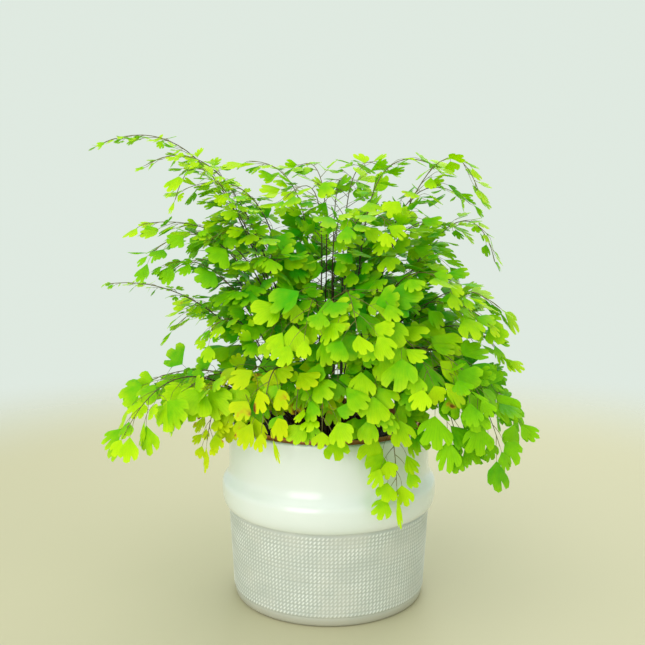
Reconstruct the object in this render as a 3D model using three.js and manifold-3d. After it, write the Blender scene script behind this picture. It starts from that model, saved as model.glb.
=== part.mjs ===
// A maidenhair fern growing in a 12 cm nursery pot, which stands inside a glazed ceramic cachepot.
// Millimetres, +Z up. The origin is the centre of the cachepot's flat underside.
// An azimuth is in degrees from +X towards +Y, so a frond at 270 leans towards -Y, the front.

import * as THREE from "three";
import { mergeVertices } from "three/addons/utils/BufferGeometryUtils.js";
import Module from "manifold-3d";

const wasm = await Module();
wasm.setup();

// ---------------------------------------------------------------- driving dimensions

const GAP = 0.3; // clearance between pieces that touch
const ROUND_SEGMENTS = 40; // facets round each pot

const FLOOR_THICKNESS = 6; // ceramic under the nursery pot
const WALL = 3.6; // ceramic wall
const FOOT_RADIUS = 63.2; // smooth band at the cachepot's foot
const BAND_TOP = 61; // height where the patterned band meets the white glaze
const BAND_TOP_RADIUS = 66.4;
const BULGE_RADIUS = 71; // the swollen ring above the band
const BULGE_HEIGHT = 74;
const NECK_RADIUS = 66.2;
const NECK_START = 88; // height where the bulge runs out into the straight neck
const RIM_HEIGHT = 116.5; // top of the cachepot

const NURSERY_RIM_RADIUS = 59.8; // a standard 12 cm pot
const NURSERY_RIM_HEIGHT = 118; // stands 1.5 mm proud of the cachepot
const COLLAR_DEPTH = 14; // the nursery pot's stiffening collar
const NURSERY_FOOT_RADIUS = 43;
const NURSERY_WALL = 1.2;
const DRAIN_HOLE_RADIUS = 4.5;
const DRAIN_HOLE_RING = 28;
const DRAIN_HOLES = 6;

const SOIL_EDGE_HEIGHT = 109; // soil level at the nursery pot's wall
const SOIL_CROWN_HEIGHT = 112; // soil level in the middle

const STIPE_RADIUS = 0.7; // the wiry black stem of a frond
const STIPE_STEPS = 9; // straight lengths in one stem; a pinna grows at each joint
const PLATE_THICKNESS = 0.8; // a pinna's leaflets, taken together as one thin plate
const ROOTING_HEIGHT = 108; // stems start inside the rhizome, and are trimmed to its surface

// ---------------------------------------------------------------- solids

const rad = THREE.MathUtils.degToRad;

// A closed three.js geometry as a manifold-3d solid.
function solidOf(geometry) {
  const bare = geometry.index ? geometry.toNonIndexed() : geometry.clone();
  bare.deleteAttribute("normal");
  bare.deleteAttribute("uv");
  const merged = mergeVertices(bare, 1e-4);
  return new wasm.Manifold(
    new wasm.Mesh({
      numProp: 3,
      vertProperties: new Float32Array(merged.attributes.position.array),
      triVerts: new Uint32Array(merged.index.array),
    }),
  );
}

function geometryOf(solid) {
  const mesh = solid.getMesh();
  const positions = new Float32Array(mesh.numVert * 3);
  for (let i = 0; i < mesh.numVert; i++) {
    positions.set(mesh.vertProperties.subarray(i * mesh.numProp, i * mesh.numProp + 3), i * 3);
  }
  const geometry = new THREE.BufferGeometry();
  geometry.setAttribute("position", new THREE.BufferAttribute(positions, 3));
  geometry.setIndex(new THREE.BufferAttribute(mesh.triVerts, 1));
  geometry.computeVertexNormals();
  return geometry;
}

// Turns a closed [radius, height] outline, drawn from the axis round to the axis, about +Z.
function turned(path, curveSteps) {
  const points = path.getPoints(curveSteps);
  const geometry = new THREE.LatheGeometry(points, ROUND_SEGMENTS);
  geometry.rotateX(Math.PI / 2);
  return solidOf(geometry);
}

function cylinder(radius, low, high, x, y) {
  const geometry = new THREE.CylinderGeometry(radius, radius, high - low, 12);
  geometry.rotateX(Math.PI / 2);
  geometry.translate(x, y, (low + high) / 2);
  return solidOf(geometry);
}

// ---------------------------------------------------------------- cachepot

function cachepotSolid() {
  const bulge = BULGE_RADIUS;
  const shoulder = BULGE_HEIGHT + 6; // height that pulls both wall curves in above the bulge
  const inner = NECK_RADIUS - WALL;
  const bandInner = BAND_TOP_RADIUS - WALL;
  const wall = new THREE.Path();
  wall.moveTo(0, 0);
  wall.lineTo(FOOT_RADIUS - 3.2, 0);
  wall.quadraticCurveTo(FOOT_RADIUS, 0, FOOT_RADIUS, 3.8);
  wall.lineTo(BAND_TOP_RADIUS, BAND_TOP);
  wall.bezierCurveTo(bulge - 1, BAND_TOP + 2, bulge, BULGE_HEIGHT - 6, bulge, BULGE_HEIGHT);
  wall.bezierCurveTo(bulge, shoulder, NECK_RADIUS, shoulder, NECK_RADIUS, NECK_START);
  wall.lineTo(NECK_RADIUS, RIM_HEIGHT - 2);
  wall.quadraticCurveTo(NECK_RADIUS, RIM_HEIGHT, NECK_RADIUS - WALL / 2, RIM_HEIGHT);
  wall.quadraticCurveTo(inner, RIM_HEIGHT, inner, RIM_HEIGHT - 2);
  wall.lineTo(inner, NECK_START);
  wall.bezierCurveTo(inner, shoulder, bulge - WALL, shoulder, bulge - WALL, BULGE_HEIGHT);
  wall.quadraticCurveTo(bulge - WALL, BAND_TOP + 3, bandInner, BAND_TOP);
  wall.lineTo(FOOT_RADIUS - WALL, FLOOR_THICKNESS + 5);
  wall.quadraticCurveTo(FOOT_RADIUS - WALL, FLOOR_THICKNESS, FOOT_RADIUS - WALL - 5, FLOOR_THICKNESS);
  wall.lineTo(0, FLOOR_THICKNESS);
  return turned(wall, 3);
}

// ---------------------------------------------------------------- nursery pot

const NURSERY_FLOOR = FLOOR_THICKNESS + GAP;
const COLLAR_START = NURSERY_RIM_HEIGHT - COLLAR_DEPTH;
const NURSERY_BODY_RADIUS = NURSERY_RIM_RADIUS - 3.4; // just below the collar

// The inside of the nursery pot, which the soil fills, drawn from the floor's centre up to a height.
function nurseryInside(path, inset, top) {
  const rimInner = NURSERY_RIM_RADIUS - NURSERY_WALL - inset;
  path.lineTo(rimInner, top);
  path.lineTo(rimInner, COLLAR_START + NURSERY_WALL + inset);
  path.lineTo(NURSERY_BODY_RADIUS - NURSERY_WALL - inset, COLLAR_START - 1);
  path.lineTo(NURSERY_FOOT_RADIUS - NURSERY_WALL - inset, NURSERY_FLOOR + NURSERY_WALL + inset + 1);
  path.lineTo(NURSERY_FOOT_RADIUS - NURSERY_WALL - inset - 1, NURSERY_FLOOR + NURSERY_WALL + inset);
  path.lineTo(0, NURSERY_FLOOR + NURSERY_WALL + inset);
}

function nurseryPotSolid() {
  const wall = new THREE.Path();
  wall.moveTo(0, NURSERY_FLOOR);
  wall.lineTo(NURSERY_FOOT_RADIUS - 1.5, NURSERY_FLOOR);
  wall.lineTo(NURSERY_FOOT_RADIUS, NURSERY_FLOOR + 1.5);
  wall.lineTo(NURSERY_BODY_RADIUS, COLLAR_START - 1.5);
  wall.lineTo(NURSERY_RIM_RADIUS - 0.4, COLLAR_START);
  wall.lineTo(NURSERY_RIM_RADIUS, NURSERY_RIM_HEIGHT - 0.6);
  wall.lineTo(NURSERY_RIM_RADIUS - 0.6, NURSERY_RIM_HEIGHT);
  nurseryInside(wall, 0, NURSERY_RIM_HEIGHT);
  let pot = turned(wall, 1);
  const through = [NURSERY_FLOOR - 1, NURSERY_FLOOR + NURSERY_WALL + 1];
  for (let i = 0; i < DRAIN_HOLES; i++) {
    const azimuth = (i * 2 * Math.PI) / DRAIN_HOLES;
    const x = DRAIN_HOLE_RING * Math.cos(azimuth);
    const y = DRAIN_HOLE_RING * Math.sin(azimuth);
    pot = pot.subtract(cylinder(DRAIN_HOLE_RADIUS, ...through, x, y));
  }
  return pot.subtract(cylinder(DRAIN_HOLE_RADIUS, ...through, 0, 0));
}

// ---------------------------------------------------------------- soil and rhizome

// The soil from the nursery pot's floor to its domed surface; raise lifts the surface.
function soilSolid(raise) {
  const outline = new THREE.Path();
  outline.moveTo(0, SOIL_CROWN_HEIGHT + raise);
  outline.quadraticCurveTo(30, SOIL_CROWN_HEIGHT + raise, NURSERY_RIM_RADIUS - NURSERY_WALL - GAP,
    SOIL_EDGE_HEIGHT + raise);
  nurseryInside(outline, GAP, SOIL_EDGE_HEIGHT + raise);
  const points = outline.getPoints(4).reverse();
  const geometry = new THREE.LatheGeometry(points, ROUND_SEGMENTS);
  geometry.rotateX(Math.PI / 2);
  return solidOf(geometry);
}

// Short creeping rhizomes, matted together at the crown: [azimuth, distance out, half length].
const RHIZOMES = [
  [10, 12, 15],
  [75, 11, 13],
  [130, 13, 14],
  [190, 12, 15],
  [250, 12, 14],
  [315, 13, 15],
];
const RHIZOME_RADIUS = 6;
const RHIZOME_CENTRE_HEIGHT = 110;

function rhizomeSolid(inflate) {
  const crown = new THREE.SphereGeometry(1, 10, 6);
  crown.scale(15 + inflate, 15 + inflate, RHIZOME_RADIUS + 1 + inflate);
  crown.translate(0, 0, RHIZOME_CENTRE_HEIGHT);
  const pieces = [solidOf(crown)];
  for (const [azimuth, out, halfLength] of RHIZOMES) {
    const root = new THREE.SphereGeometry(1, 8, 6);
    root.rotateZ(Math.PI / 2); // its poles lie along the root
    root.scale(halfLength + inflate, RHIZOME_RADIUS + inflate, RHIZOME_RADIUS + inflate);
    root.translate(out, 0, RHIZOME_CENTRE_HEIGHT - 1);
    root.rotateZ(rad(azimuth));
    pieces.push(solidOf(root));
  }
  return wasm.Manifold.union(pieces);
}

// ---------------------------------------------------------------- fronds

// One row for each frond:
//   turn    azimuth at the base; swing is how far it has changed by the tip
//   lean    degrees from upright at the base; arch is how strongly the route bows, as a share of its chord
//   reach   the tip's distance from the axis; height is its height over the floor
//   droop   degrees below level at the tip
//   bare    share of the route with no leaflets
//   spread  length of the longest pinna; leaflet is the width of a leaflet there, and fresh, gold or
//           deep is the leaflets' green
const FRONDS = [
  // name, turn, swing, lean, arch, reach, height, droop, bare, spread, leaflet, leaf colour
  // left, from the top down
  ["left_long", 174, 0, 17, 0.4, 152, 296, 24, 0.5, 34, 10, "fresh"],
  ["left_twin", 187, -4, 14, 0.36, 116, 283, 30, 0.5, 38, 12, "fresh"],
  ["left_tier", 176, 0, 15, 0.42, 93, 268, 22, 0.45, 38, 15, "fresh"],
  ["left_curl", 195, 0, 12, 0.42, 98, 262, 75, 0.5, 38, 13, "fresh"],
  ["left_upright", 160, 0, 12, 0.35, 56, 286, 0, 0.45, 36, 16, "fresh"],
  ["left_flat_high", 182, 2, 19, 0.45, 118, 246, 8, 0.4, 44, 16, "fresh"],
  ["left_flat_mid", 196, 0, 22, 0.46, 115, 228, 40, 0.4, 44, 16, "deep"],
  ["left_inner", 199, 0, 17, 0.4, 76, 238, 30, 0.4, 38, 15, "fresh"],
  ["left_thread", 178, 0, 29, 0.38, 146, 206, 8, 0.5, 22, 7, "fresh"],
  ["left_wire", 204, -3, 29, 0.34, 108, 222, 20, 0.5, 34, 14, "deep"],
  ["left_back_wire", 167, 0, 25, 0.38, 104, 216, 30, 0.5, 34, 14, "deep"],
  ["left_small", 209, 0, 34, 0.46, 86, 178, 55, 0.5, 30, 13, "fresh"],
  ["left_low_out", 203, 4, 50, 0.55, 138, 122, 60, 0.4, 40, 20, "fresh"],
  ["left_low_back", 177, 0, 44, 0.45, 122, 140, 25, 0.4, 38, 19, "deep"],
  ["left_low_front", 212, 0, 40, 0.5, 112, 138, 50, 0.4, 36, 18, "fresh"],
  ["left_twig", 216, 0, 54, 0.8, 92, 116, 80, 0.4, 28, 13, "gold"],
  // front, from left to right
  ["front_left_outer", 230, 0, 44, 0.85, 83, 134, 75, 0.4, 30, 19, "gold"],
  ["front_left_inner", 243, 0, 37, 0.85, 87, 130, 78, 0.4, 30, 20, "gold"],
  ["front_left_up", 236, 0, 16, 0.55, 64, 180, 55, 0.45, 36, 19, "fresh"],
  ["front_drop_left", 256, 0, 41, 0.75, 82, 136, 75, 0.45, 26, 17, "fresh"],
  ["front_drop_right", 267, 0, 36, 0.75, 84, 132, 78, 0.45, 30, 18, "fresh"],
  ["front_arch", 259, 0, 12, 0.65, 76, 184, 50, 0.4, 46, 22, "fresh"],
  ["front_fan", 281, 0, 9, 0.65, 82, 188, 50, 0.4, 46, 22, "fresh"],
  ["front_cluster", 274, 0, 24, 0.65, 70, 158, 75, 0.5, 30, 18, "deep"],
  ["front_left_high", 230, 0, 8, 0.45, 42, 262, 35, 0.42, 36, 16, "fresh"],
  ["front_up", 289, 0, 5, 0.45, 46, 248, 20, 0.4, 38, 18, "fresh"],
  // right, from the front round
  ["right_bright", 294, 0, 33, 0.75, 84, 140, 70, 0.4, 36, 21, "fresh"],
  ["right_hanging", 301, 0, 41, 0.9, 78, 92, 86, 0.4, 26, 17, "fresh"],
  ["right_front", 308, 0, 24, 0.65, 96, 158, 55, 0.4, 40, 21, "fresh"],
  ["right_low_inner", 316, 2, 37, 0.8, 103, 116, 75, 0.4, 38, 22, "deep"],
  ["right_low_outer", 327, 0, 43, 0.75, 121, 116, 70, 0.4, 38, 22, "deep"],
  ["right_dark_arch", 322, 0, 17, 0.55, 112, 148, 55, 0.35, 44, 22, "deep"],
  ["right_far", 343, 0, 31, 0.58, 124, 124, 60, 0.4, 36, 19, "deep"],
  ["right_shelf", 338, 0, 19, 0.48, 103, 188, 38, 0.35, 44, 19, "fresh"],
  ["right_ledge", 328, 0, 17, 0.5, 92, 206, 40, 0.38, 42, 19, "fresh"],
  ["right_front_high", 312, 0, 9, 0.45, 56, 246, 35, 0.4, 38, 17, "fresh"],
  ["right_mid_arch", 348, 0, 28, 0.52, 112, 164, 50, 0.38, 42, 20, "fresh"],
  ["right_shoulder", 358, 0, 25, 0.45, 110, 192, 40, 0.35, 44, 19, "fresh"],
  ["right_thread", 5, 0, 15, 0.55, 110, 220, 75, 0.45, 32, 11, "fresh"],
  ["right_high_tip", 350, 0, 10, 0.46, 95, 266, 70, 0.45, 38, 16, "fresh"],
  ["right_crest", 358, 0, 12, 0.42, 72, 280, 30, 0.42, 38, 16, "fresh"],
  ["right_tier", 12, 0, 13, 0.44, 96, 258, 40, 0.42, 40, 16, "fresh"],
  ["right_flat", 18, 0, 15, 0.45, 94, 240, 28, 0.4, 42, 17, "fresh"],
  ["right_inner", 12, 0, 21, 0.38, 74, 212, 25, 0.4, 38, 18, "fresh"],
  ["centre_high", 52, 8, 10, 0.4, 70, 284, 15, 0.4, 40, 17, "fresh"],
  ["centre_left", 114, 0, 7, 0.4, 46, 284, 10, 0.45, 36, 15, "fresh"],
  // back, from right to left
  ["back_right_low", 32, 0, 35, 0.6, 124, 158, 50, 0.4, 42, 19, "deep"],
  ["back_right", 42, 0, 17, 0.52, 108, 216, 40, 0.4, 42, 19, "fresh"],
  ["back_low", 62, 0, 39, 0.7, 116, 134, 65, 0.4, 38, 19, "deep"],
  ["back_drop", 74, 0, 36, 0.75, 86, 134, 75, 0.45, 34, 18, "fresh"],
  ["back_high", 84, 0, 13, 0.52, 106, 232, 36, 0.4, 42, 18, "fresh"],
  ["back_upright", 78, 0, 8, 0.42, 62, 272, 20, 0.42, 38, 16, "fresh"],
  ["back_middle", 96, 0, 31, 0.6, 128, 168, 50, 0.4, 42, 19, "deep"],
  ["back_left", 131, 0, 18, 0.52, 112, 220, 38, 0.4, 42, 19, "fresh"],
  ["back_left_low", 121, 0, 41, 0.66, 118, 132, 62, 0.4, 38, 19, "deep"],
  ["back_left_wide", 148, 0, 29, 0.5, 126, 172, 42, 0.4, 42, 18, "fresh"],
];

function routeOf([, turn, swing, lean, arch, reach, height, droop]) {
  const at = (azimuth, radius, z) =>
    new THREE.Vector3(radius * Math.cos(rad(azimuth)), radius * Math.sin(rad(azimuth)), z);
  const rootRadius = 6 + 0.3 * lean;
  const handle = arch * Math.hypot(reach - rootRadius, height - ROOTING_HEIGHT);
  return new THREE.CubicBezierCurve3(
    at(turn, rootRadius, ROOTING_HEIGHT),
    at(turn, rootRadius + handle * Math.sin(rad(lean)), ROOTING_HEIGHT + handle * Math.cos(rad(lean))),
    at(turn + 0.6 * swing, reach - handle * Math.cos(rad(droop)), height + handle * Math.sin(rad(droop))),
    at(turn + swing, reach, height),
  );
}

// The wiry stem: a square section drawn along the route, trimmed where it enters the crown.
function stemSolid(route, crown) {
  const section = new THREE.Shape();
  section.absarc(0, 0, STIPE_RADIUS, 0, 2 * Math.PI);
  const geometry = new THREE.ExtrudeGeometry(section, {
    steps: STIPE_STEPS,
    curveSegments: 2,
    extrudePath: route,
  });
  const stem = solidOf(geometry);
  return stem.subtract(crown);
}

// A pinna's leaflets as one thin kite-shaped plate, from its foot at the origin along +X.
function pinnaPlate(length, halfWidth, thickness) {
  const outline = new THREE.Shape();
  outline.moveTo(0, 0);
  outline.lineTo(0.58 * length, -halfWidth);
  outline.lineTo(length, 0);
  outline.lineTo(0.58 * length, halfWidth);
  const plate = new THREE.ExtrudeGeometry(outline, { depth: thickness, bevelEnabled: false });
  plate.translate(0, 0, -thickness / 2);
  return plate;
}

// Where each pinna of a frond grows and which way it lies: alternate sides, the longest near the
// bottom, the last one straight on from the tip.
function pinnaeOf(row, route) {
  const [, turn, swing, , , , , , bare, spread, leaflet] = row;
  const azimuth = rad(turn + swing / 2);
  const side = new THREE.Vector3(-Math.sin(azimuth), Math.cos(azimuth), 0);
  const first = Math.ceil(bare * STIPE_STEPS);
  const pinnae = [];
  for (let joint = first; joint <= STIPE_STEPS; joint++) {
    const share = (joint - first) / (STIPE_STEPS - first);
    const tip = joint === STIPE_STEPS;
    const along = route.getTangentAt(joint / STIPE_STEPS);
    const hand = joint % 2 ? 1 : -1;
    const angle = tip ? 0 : rad(62 - 16 * share);
    const direction = along.clone().multiplyScalar(Math.cos(angle));
    direction.addScaledVector(side, hand * Math.sin(angle));
    direction.z -= 0.12;
    direction.normalize();
    const face = new THREE.Vector3().crossVectors(along, side);
    const length = tip ? 0.9 * leaflet : (spread - leaflet) * (1 - share) ** 0.8 + 0.9 * leaflet;
    const halfWidth = 0.5 * leaflet * (1.3 - 0.35 * share);
    pinnae.push({ root: route.getPointAt(joint / STIPE_STEPS), direction, face, length, halfWidth });
  }
  return pinnae;
}

// The plate of one pinna in place, at a share of its full length.
function placedPlate(pinna, share, thickness) {
  const across = new THREE.Vector3().crossVectors(pinna.face, pinna.direction).normalize();
  const up = new THREE.Vector3().crossVectors(pinna.direction, across);
  const place = new THREE.Matrix4().makeBasis(pinna.direction, across, up);
  place.setPosition(pinna.root);
  const plate = pinnaPlate(pinna.length * share, pinna.halfWidth * Math.sqrt(share), thickness);
  return solidOf(plate.applyMatrix4(place));
}

function boxesMeet(a, b) {
  return a.min.every((low, axis) => low <= b.max[axis] && b.min[axis] <= a.max[axis]);
}

function isClear(solid, others) {
  const box = solid.boundingBox();
  return others.every((other) => !boxesMeet(box, other.box) || solid.intersect(other.solid).isEmpty());
}

// Every stem is placed first, and then each plate at the largest size that clears what is there.
function frondSolids(pots, crown) {
  const fronds = FRONDS.map((row) => {
    const route = routeOf(row);
    return { row, name: "frond_" + row[0], route, stem: stemSolid(route, crown), plates: [] };
  });
  const taken = pots.map((solid) => ({ solid, box: solid.boundingBox(), owner: null }));
  for (const frond of fronds) {
    taken.push({ solid: frond.stem, box: frond.stem.boundingBox(), owner: frond });
  }
  for (const frond of fronds) {
    const others = taken.filter((other) => other.owner !== frond);
    for (const pinna of pinnaeOf(frond.row, frond.route)) {
      const share = [1, 0.8, 0.62, 0.45].find((size) =>
        isClear(placedPlate(pinna, size, PLATE_THICKNESS + 2 * GAP), others),
      );
      if (share === undefined) continue;
      const plate = placedPlate(pinna, share, PLATE_THICKNESS);
      frond.plates.push(plate);
      taken.push({ solid: plate, box: plate.boundingBox(), owner: frond });
    }
  }
  return fronds;
}

// ---------------------------------------------------------------- assembly

const glaze = new THREE.MeshStandardMaterial({ color: 0xe4e8dd, roughness: 0.18, metalness: 0 });
const terracotta = new THREE.MeshStandardMaterial({ color: 0xb5622f, roughness: 0.6, metalness: 0 });
const peat = new THREE.MeshStandardMaterial({ color: 0x1e1712, roughness: 0.95, metalness: 0 });
const root = new THREE.MeshStandardMaterial({ color: 0x3a2417, roughness: 0.8, metalness: 0 });
const foliage = {
  fresh: new THREE.MeshStandardMaterial({ color: 0x86c70d, roughness: 0.5, metalness: 0 }),
  gold: new THREE.MeshStandardMaterial({ color: 0xb9cf14, roughness: 0.5, metalness: 0 }),
  deep: new THREE.MeshStandardMaterial({ color: 0x4f9412, roughness: 0.45, metalness: 0 }),
};

const group = new THREE.Group();

function add(name, solid, material) {
  const mesh = new THREE.Mesh(geometryOf(solid), material);
  mesh.name = name;
  group.add(mesh);
}

const cachepot = cachepotSolid();
const nurseryPot = nurseryPotSolid();
const rhizome = rhizomeSolid(0);
const soil = soilSolid(0).subtract(rhizomeSolid(GAP));
const crown = soilSolid(GAP).add(rhizomeSolid(GAP));

add("cachepot", cachepot, glaze);
add("nursery_pot", nurseryPot, terracotta);
add("potting_soil", soil, peat);
add("rhizome_crown", rhizome, root);
for (const frond of frondSolids([cachepot, nurseryPot, soil], crown)) {
  add(frond.name, wasm.Manifold.union([frond.stem, ...frond.plates]), foliage[frond.row.at(-1)]);
}

export default group;
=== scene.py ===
"""A maidenhair fern in its nursery pot and glazed cachepot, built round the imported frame.

Metres and +Z up, with the origin at the centre of the cachepot's flat underside.
"""

import itertools
import math
import random

import bmesh
import bpy
from mathutils import Matrix, Vector, noise
from mathutils.bvhtree import BVHTree
from mathutils.geometry import interpolate_bezier


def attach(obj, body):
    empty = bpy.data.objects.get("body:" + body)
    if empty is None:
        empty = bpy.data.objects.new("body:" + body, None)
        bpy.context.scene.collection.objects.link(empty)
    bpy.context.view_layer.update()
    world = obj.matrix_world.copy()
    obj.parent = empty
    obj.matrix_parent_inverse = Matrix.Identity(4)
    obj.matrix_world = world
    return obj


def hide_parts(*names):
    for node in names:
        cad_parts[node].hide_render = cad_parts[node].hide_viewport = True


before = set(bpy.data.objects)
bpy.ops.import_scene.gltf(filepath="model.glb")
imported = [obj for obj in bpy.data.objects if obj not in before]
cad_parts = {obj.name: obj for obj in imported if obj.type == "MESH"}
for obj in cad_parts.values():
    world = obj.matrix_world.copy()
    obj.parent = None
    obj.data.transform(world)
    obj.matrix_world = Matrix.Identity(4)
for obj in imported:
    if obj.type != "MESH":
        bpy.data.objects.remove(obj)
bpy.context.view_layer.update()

# ---------------------------------------------------------------- camera
# A longish lens 0.6 m in front of the plant and a little under its top, looking slightly down.

CAMERA_PLACE = (-0.0042, -0.610, 0.269)
CAMERA_PITCH = 8.19  # degrees below level
CAMERA_LENS = 52.5  # for a sensor 36 mm wide

camera_data = bpy.data.cameras.new("camera")
camera_data.lens = CAMERA_LENS
camera_data.sensor_width = 36
camera = bpy.data.objects.new("camera", camera_data)
camera.location = CAMERA_PLACE
camera.rotation_euler = (math.radians(90 - CAMERA_PITCH), 0, 0)
bpy.context.scene.collection.objects.link(camera)
bpy.context.scene.camera = camera

# ---------------------------------------------------------------- light and floor
# A low window in front on the left, a broad soft sky light overhead, a fill from the right and a
# light from behind that shines through the leaflets. The floor and the air are plain and pale.

AIR = (0.74, 0.82, 0.75)
FLOOR = (0.55, 0.51, 0.34)
FLOOR_RADIUS = 0.80
FLOOR_FADE = 0.40  # from here out the floor thins away into the pale air


def soft_light(name, place, power, size, tint=(1, 1, 1)):
    data = bpy.data.lights.new(name, "AREA")
    data.energy = power
    data.size = size
    data.color = tint
    light = bpy.data.objects.new(name, data)
    light.location = place
    aim = Vector((0, 0, 0.16)) - Vector(place)
    light.rotation_euler = aim.to_track_quat("-Z", "Y").to_euler()
    bpy.context.scene.collection.objects.link(light)


class Paint:
    """A socket in a material's nodes. Sums on it add Math nodes, and node() adds any other node."""

    def __init__(self, tree, socket=None):
        self.tree = tree
        self.socket = socket

    def node(self, kind, settings=(), inputs=(), output=0):
        made = self.tree.nodes.new(kind)
        for name, value in dict(settings).items():
            setattr(made, name, value)
        for name, value in dict(inputs).items():
            if isinstance(value, Paint):
                self.tree.links.new(value.socket, made.inputs[name])
            elif isinstance(value, tuple) and made.inputs[name].type == "RGBA":
                made.inputs[name].default_value = (*value, 1)
            else:
                made.inputs[name].default_value = value
        return Paint(self.tree, made.outputs[output] if made.outputs else None)

    def sum(self, operation, *values):
        return self.node("ShaderNodeMath", {"operation": operation}, dict(enumerate(values)))

    def __add__(self, other):
        return self.sum("ADD", self, other)

    def __sub__(self, other):
        return self.sum("SUBTRACT", self, other)

    def __rsub__(self, other):
        return self.sum("SUBTRACT", other, self)

    def __mul__(self, other):
        return self.sum("MULTIPLY", self, other)

    __radd__ = __add__
    __rmul__ = __mul__

    def between(self, low, high):
        """0 below low, 1 above high, and a smooth step from one to the other."""
        settings = {"interpolation_type": "SMOOTHSTEP"}
        return self.node("ShaderNodeMapRange", settings, {"Value": self, "From Min": low, "From Max": high})

    def mix(self, first, second):
        """The first colour where this socket is 0, the second where it is 1."""
        return self.node("ShaderNodeMix", {"data_type": "RGBA"}, {0: self, 6: first, 7: second}, 2)

    def noise(self, scale, detail=3, roughness=0.5):
        """Noise from 0 to 1 at the place that this socket gives."""
        inputs = {"Vector": self, "Scale": scale, "Detail": detail, "Roughness": roughness}
        return self.node("ShaderNodeTexNoise", (), inputs)

    def bump(self, distance, strength=1):
        """The normal that this socket gives as a height of so many metres."""
        return self.node("ShaderNodeBump", (), {"Strength": strength, "Distance": distance, "Height": self})


def new_finish(name):
    """A material with no nodes, and the paint and the Object coordinates to make them with."""
    finish = bpy.data.materials.new(name)
    finish.use_nodes = True
    finish.node_tree.nodes.clear()
    paint = Paint(finish.node_tree)
    return finish, paint, paint.node("ShaderNodeTexCoord", output=3)


def show(shader):
    """Makes a shader the one that its material shows."""
    shader.node("ShaderNodeOutputMaterial", (), {"Surface": shader})


def principled(paint, sockets):
    return paint.node("ShaderNodeBsdfPrincipled", (), sockets)


soft_light("window", (-0.60, -1.20, 0.36), 7, 0.8)
soft_light("sky", (-0.35, -0.5, 1.4), 6.5, 1.5)
soft_light("fill", (1.2, -0.6, 0.7), 1.5, 1.0)
soft_light("back", (0.3, 1.0, 0.9), 6.5, 1.0, (1, 1, 0.94))

world = bpy.data.worlds.new("air")
world.use_nodes = True
world.node_tree.nodes["Background"].inputs["Color"].default_value = (*AIR, 1)
bpy.context.scene.world = world
bpy.context.scene.view_settings.view_transform = "Standard"

floor_mesh = bpy.data.meshes.new("floor")
floor_shape = bmesh.new()
bmesh.ops.create_circle(floor_shape, cap_ends=True, segments=128, radius=FLOOR_RADIUS)
floor_shape.to_mesh(floor_mesh)
floor_shape.free()
floor = bpy.data.objects.new("floor", floor_mesh)
bpy.context.scene.collection.objects.link(floor)
floor_finish, paint, place = new_finish("pale_floor")
reach = paint.node("ShaderNodeVectorMath", {"operation": "LENGTH"}, {0: place}, 1)
solid = reach.between(FLOOR_RADIUS, FLOOR_FADE)
show(principled(paint, {"Base Color": FLOOR, "Roughness": 0.6, "Alpha": solid}))
floor_mesh.materials.append(floor_finish)

# ---------------------------------------------------------------- cachepot
# A thick cast stoneware pot with a swollen ring round its waist. Above the ring's foot it is dipped in
# creamy white gloss glaze. Below, the wall carries rows of small slanted stitches under a thin
# pale grey glaze, over a smooth foot band.

MM = 0.001
POT_STEPS = 640  # four to a column of stitches
STITCH_COLUMNS = 160
STITCH_ROWS = 21
STITCH_RELIEF = 0.62 * MM
STITCH_HALF_WIDTH = 0.34  # in cells, as are its half length and how far it leans over a cell's height
STITCH_HALF_LENGTH = 0.56
STITCH_LEAN = 0.6
BAND_LOW = 6.8 * MM
BAND_HIGH = 59.5 * MM
BAND_LOW_RADIUS = 63.4 * MM
BAND_HIGH_RADIUS = 66.2 * MM
GLAZE_LINE = 60.6 * MM  # where the white glaze ends, under the ring
CREAM_GLAZE = (0.78, 0.81, 0.77)
GREY_GLAZE = (0.47, 0.50, 0.45)
GREY_GLAZE_WORN = (0.86, 0.88, 0.83)
# The outline's sizes in millimetres: the ring's and the neck's radius, the height, the wall and the floor.
RING = 71
NECK = 66.2
LIP = 116.5
THICK = 3.6
FLOOR_UP = 6


def add_piece(name, shape, finishes, slot, *nodes):
    """Makes an object of a bmesh, riding on the part's one body in place of its CAD nodes."""
    mesh = bpy.data.meshes.new(name)
    shape.to_mesh(mesh)
    shape.free()
    for finish in finishes:
        mesh.materials.append(finish)
    piece = bpy.data.objects.new(name, mesh)
    bpy.context.scene.collection.objects.link(piece)
    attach(piece, "root")
    if nodes:
        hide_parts(*nodes)
    return piece


def bend(start, handle, second_handle, end, count):
    """Points on a curve in the half plane of (radius, height), given in millimetres."""
    corners = (start, handle, second_handle, end)
    return interpolate_bezier(*[Vector((radius * MM, 0, height * MM)) for radius, height in corners], count)


def turned(chain, steps):
    """The shape that a chain of points makes when it is spun about the pot's axis.

    A sixteenth of the round is spun, and then doubled four times, which is quicker than one long spin.
    """
    shape = bmesh.new()
    verts = [shape.verts.new(point) for point in chain]
    edges = [shape.edges.new(pair) for pair in zip(verts, verts[1:])]
    round_spin = {"axis": (0, 0, 1), "cent": (0, 0, 0)}
    bmesh.ops.spin(shape, geom=verts + edges, angle=math.pi / 8, steps=steps // 16, **round_spin)
    for doubling in range(4):
        so_far = shape.verts[:] + shape.edges[:] + shape.faces[:]
        copied = bmesh.ops.duplicate(shape, geom=so_far)["geom"]
        moved = [item for item in copied if isinstance(item, bmesh.types.BMVert)]
        turn = Matrix.Rotation(math.pi / 8 * 2**doubling, 3, "Z")
        bmesh.ops.rotate(shape, verts=moved, matrix=turn)
    bmesh.ops.remove_doubles(shape, verts=shape.verts, dist=1e-6)
    bmesh.ops.recalc_face_normals(shape, faces=shape.faces)
    for face in shape.faces:
        face.smooth = True
    return shape


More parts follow.
